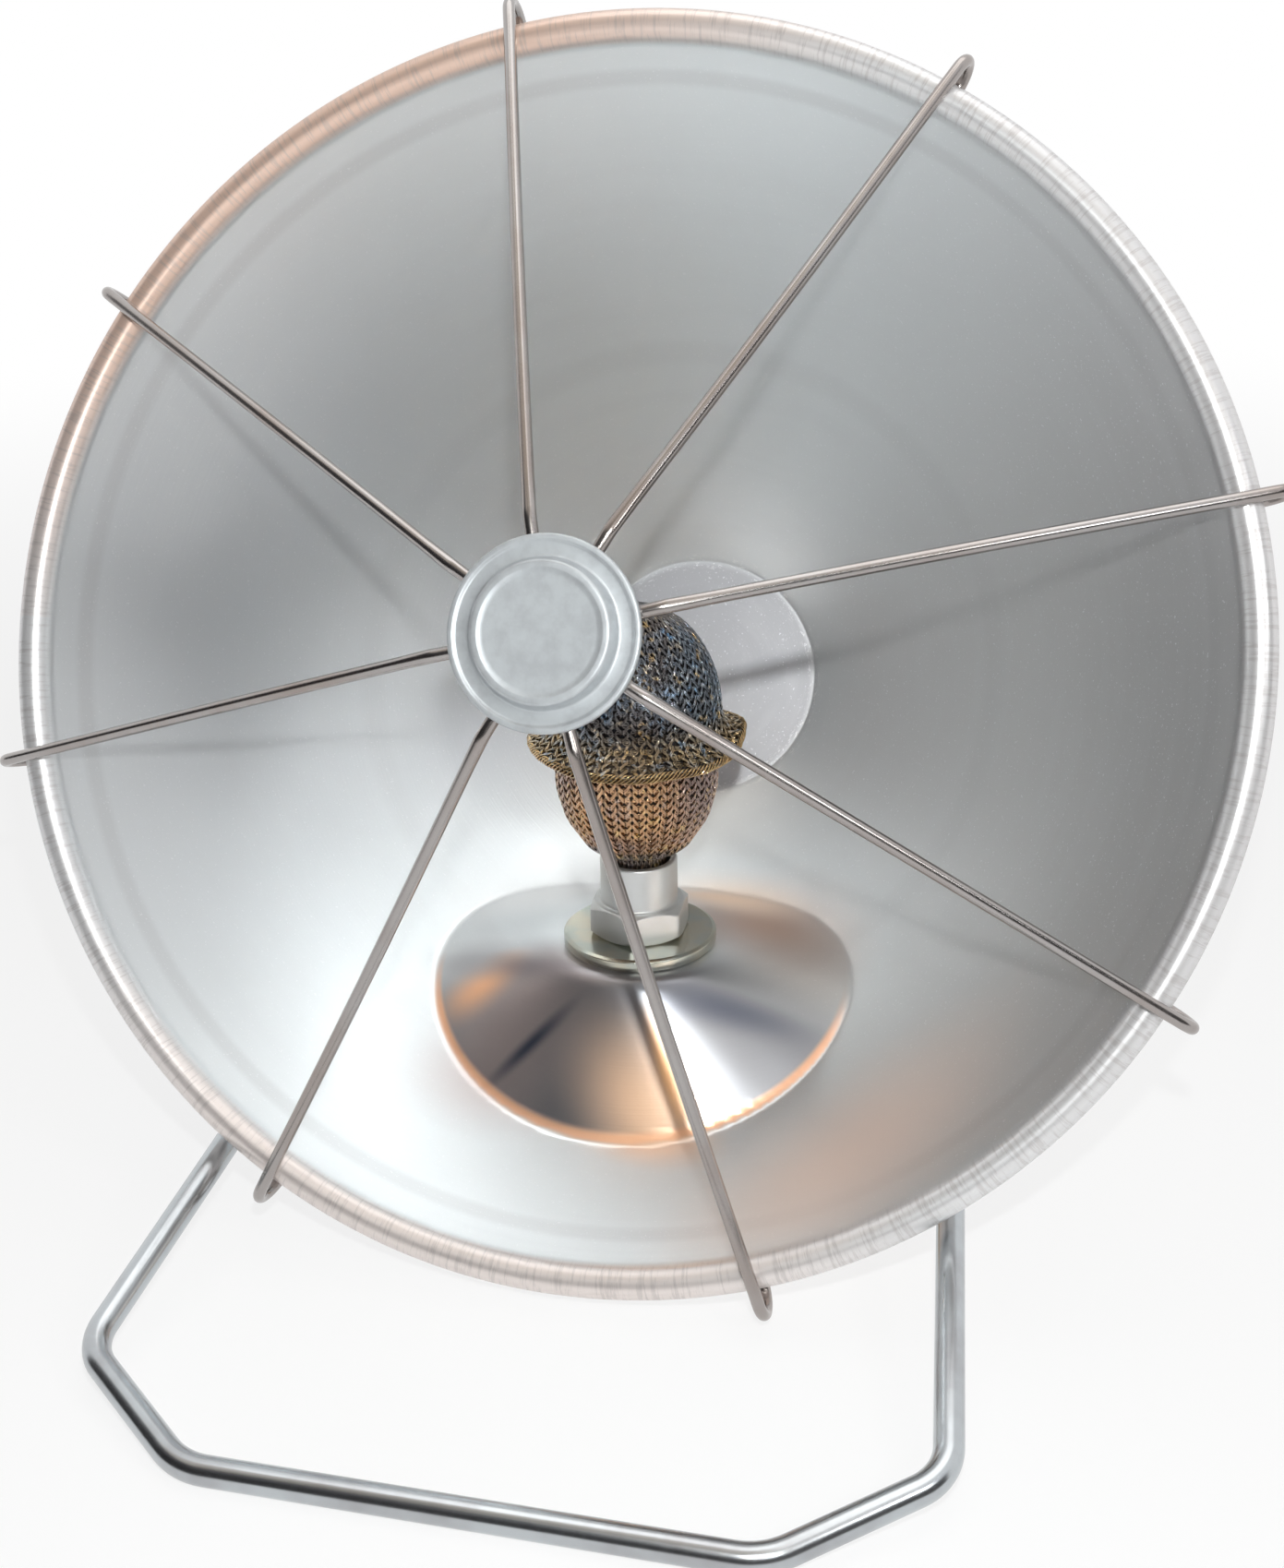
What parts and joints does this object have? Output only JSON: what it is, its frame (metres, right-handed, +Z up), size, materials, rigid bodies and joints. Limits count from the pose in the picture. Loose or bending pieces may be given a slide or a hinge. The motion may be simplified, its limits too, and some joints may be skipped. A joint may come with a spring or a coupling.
{
  "type": "parabolic heater",
  "caption": "Parabolic gas heater: spun bowl with a pressed seat, upright mesh burner, wire guard over the mouth, valve with hose tail, and two folding wire leg loops.",
  "frame": {"origin": "on the floor, midway between the outer edges of the two foot bars, on the plane through the burner axis and the bowl axis", "axes": "+Z up; the bowl opens towards -Y and is tipped up; the hose tail leaves towards +X"},
  "size_m": [0.2844, 0.24, 0.2663],
  "materials": {
    "bowl_sheet": "spun and lightly brushed sheet, satin, with a brighter scratched bead",
    "guard_chrome": "bright plated wire",
    "hub_sheet": "dull grey pressed sheet, mottled",
    "passivated_steel": "yellow zinc-passivated, slightly iridescent",
    "tube_steel": "turned and zinc-plated, satin",
    "inner_steel": "heat-resisting sheet",
    "cup_mesh": "knitted wire mesh, bronze heat tint",
    "dome_mesh": "knitted wire mesh, blue-black heat tint",
    "brim_steel": "folded mesh hem, straw heat tint",
    "plated_steel": "zinc-plated, satin",
    "brass": "machined brass",
    "seal_rubber": "black elastomer",
    "knob_plastic": "black moulded plastic",
    "leg_chrome": "bright plated rod",
    "clip_steel": "blackened spring steel"
  },
  "bodies": {
    "heater": {"reflector": "bowl_sheet", "guard_wire_1": "guard_chrome", "guard_wire_2": "guard_chrome", "guard_wire_3": "guard_chrome", "guard_wire_4": "guard_chrome", "guard_wire_5": "guard_chrome", "guard_wire_6": "guard_chrome", "guard_wire_7": "guard_chrome", "guard_wire_8": "guard_chrome", "guard_hub_face": "hub_sheet", "guard_hub_back": "hub_sheet", "seat_washer": "passivated_steel", "burner_tube": "tube_steel", "neck_ferrule": "inner_steel", "mesh_cup": "cup_mesh", "mesh_dome": "dome_mesh", "brim_ring": "brim_steel", "flame_spreader": "inner_steel", "stand_bracket": "plated_steel", "spring_washer": "plated_steel", "lock_nut": "plated_steel", "injector": "brass", "valve_body": "brass", "spindle_o_ring": "seal_rubber", "packing_nut": "brass", "inlet_seal": "seal_rubber", "hose_tail": "brass"},
    "front_leg": {"front_leg": "leg_chrome", "front_leg_clips": "clip_steel"},
    "rear_leg": {"rear_leg": "leg_chrome", "rear_leg_clips": "clip_steel"},
    "knob": {"control_knob": "knob_plastic", "valve_spindle": "plated_steel", "knob_screw": "plated_steel"}
  },
  "joints": [
    {"name": "front_leg_fold", "type": "hinge", "parent": "heater", "child": "front_leg", "pos_m": [0, 0.028, 0.03685], "axis": [1, 0, 0], "range_deg": [0, 210]},
    {"name": "rear_leg_fold", "type": "hinge", "parent": "heater", "child": "rear_leg", "pos_m": [0, 0.046, 0.03685], "axis": [1, 0, 0], "range_deg": [-110, 0]},
    {"name": "knob_turn", "type": "hinge", "parent": "heater", "child": "knob", "pos_m": [0, 0.03, 0.01485], "axis": [0, 1, 0], "range_deg": [0, 270]}
  ]
}
